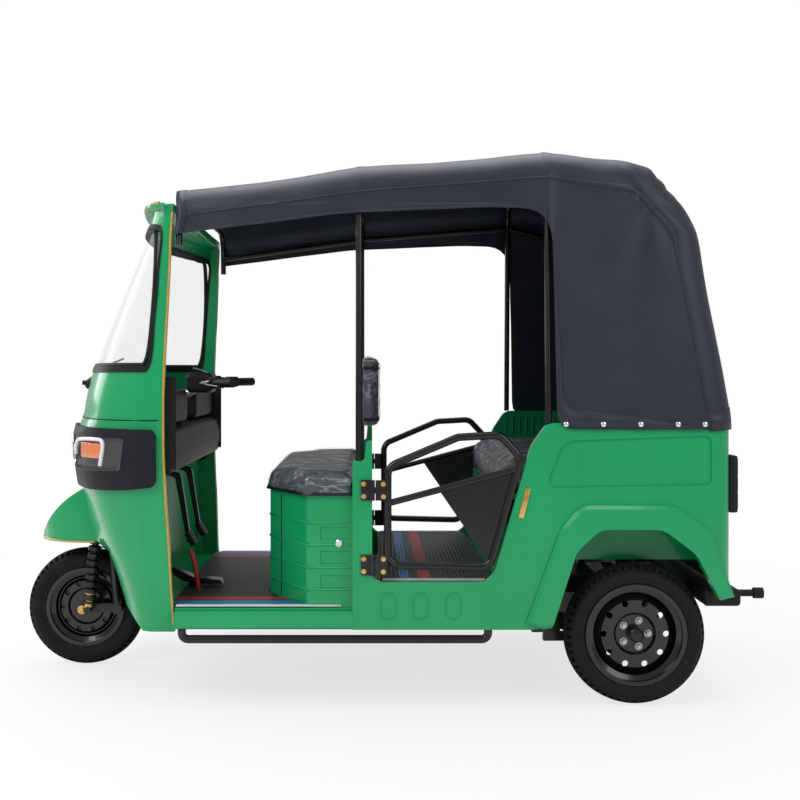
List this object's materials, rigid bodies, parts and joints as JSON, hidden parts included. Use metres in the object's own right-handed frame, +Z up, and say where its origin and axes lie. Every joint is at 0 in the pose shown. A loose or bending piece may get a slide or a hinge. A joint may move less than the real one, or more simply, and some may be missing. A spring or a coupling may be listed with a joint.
{
  "type": "passenger motor tricycle",
  "caption": "Three-wheeled passenger tricycle with a rounded cab, handlebar steering, low tube doors, rear bench and fabric canopy; it rolls and steers.",
  "frame": {"origin": "on the ground under the middle of the overall length and width", "axes": "+X to the rear, +Y to the right side, +Z up; the vehicle faces -X"},
  "size_m": [2.69, 1.3, 1.8861],
  "materials": {
    "green_paint": "gloss body paint",
    "black_paint": "semi-gloss black paint",
    "plated_steel": "plated",
    "black_plastic": "grained dark plastic",
    "rubber": "matt",
    "tyre": "matt",
    "glass": "clear",
    "lamp_lens": "clear lens",
    "tail_lens": "smoked red lens",
    "seat_vinyl": "ribbed vinyl",
    "canopy_vinyl": "coated cloth",
    "cast_alloy": "cast"
  },
  "bodies": {
    "chassis": {"chassis_frame": "black_paint", "front_bulkhead": "green_paint", "floor_pan": "green_paint", "cab_lower_shell": "green_paint", "cab_upper_shell": "green_paint", "windscreen": "glass", "windscreen_gasket": "rubber", "front_mudguard": "green_paint", "headlamp_bezels": "black_plastic", "headlamps": "lamp_lens", "dashboard": "black_plastic", "foot_pedals": "black_paint", "seat_box": "green_paint", "driver_seat": "seat_vinyl", "backrest_bracket": "black_paint", "driver_backrest": "seat_vinyl", "side_panel_left": "green_paint", "side_panel_right": "green_paint", "rear_panel": "green_paint", "wheelhouses": "green_paint", "rear_bench": "green_paint", "rear_seat": "seat_vinyl", "rear_backrest": "seat_vinyl", "canopy_frame": "black_paint", "canopy": "canopy_vinyl", "hinge_leaves": "black_paint", "side_steps": "black_paint", "tail_lamps": "tail_lens", "rear_bumper": "black_plastic", "engine_block": "cast_alloy", "rear_axle": "black_paint", "rear_arms": "black_paint", "rear_shocks": "black_paint"},
    "steering": {"steering_fork": "black_paint", "front_arms": "black_paint", "front_axle": "plated_steel", "front_shocks": "black_paint", "handlebar": "plated_steel", "handlebar_grips": "rubber", "handlebar_cover": "black_plastic"},
    "front_wheel": {"front_tyre": "tyre", "front_rim": "black_paint"},
    "rear_wheel_left": {"rear_tyre_left": "tyre", "rear_rim_left": "black_paint"},
    "rear_wheel_right": {"rear_tyre_right": "tyre", "rear_rim_right": "black_paint"},
    "door_left": {"door_left": "black_paint"},
    "door_right": {"door_right": "black_paint"}
  },
  "joints": [
    {"name": "steering", "type": "hinge", "parent": "chassis", "child": "steering", "pos_m": [-1.009, 0, 0.52], "axis": [0.4226, 0, 0.9063], "range_deg": [-40, 40]},
    {"name": "front_wheel_spin", "type": "hinge", "parent": "steering", "child": "front_wheel", "pos_m": [-1.12, 0, 0.225], "axis": [0, 1, 0], "continuous": true},
    {"name": "rear_wheel_left_spin", "type": "hinge", "parent": "chassis", "child": "rear_wheel_left", "pos_m": [0.88, -0.545, 0.24], "axis": [0, 1, 0], "continuous": true},
    {"name": "rear_wheel_right_spin", "type": "hinge", "parent": "chassis", "child": "rear_wheel_right", "pos_m": [0.88, 0.545, 0.24], "axis": [0, 1, 0], "continuous": true},
    {"name": "door_left_hinge", "type": "hinge", "parent": "chassis", "child": "door_left", "pos_m": [-0.014, -0.6395, 0.6], "axis": [0, 0, -1], "range_deg": [0, 95]},
    {"name": "door_right_hinge", "type": "hinge", "parent": "chassis", "child": "door_right", "pos_m": [-0.014, 0.6395, 0.6], "axis": [0, 0, 1], "range_deg": [0, 95]}
  ]
}
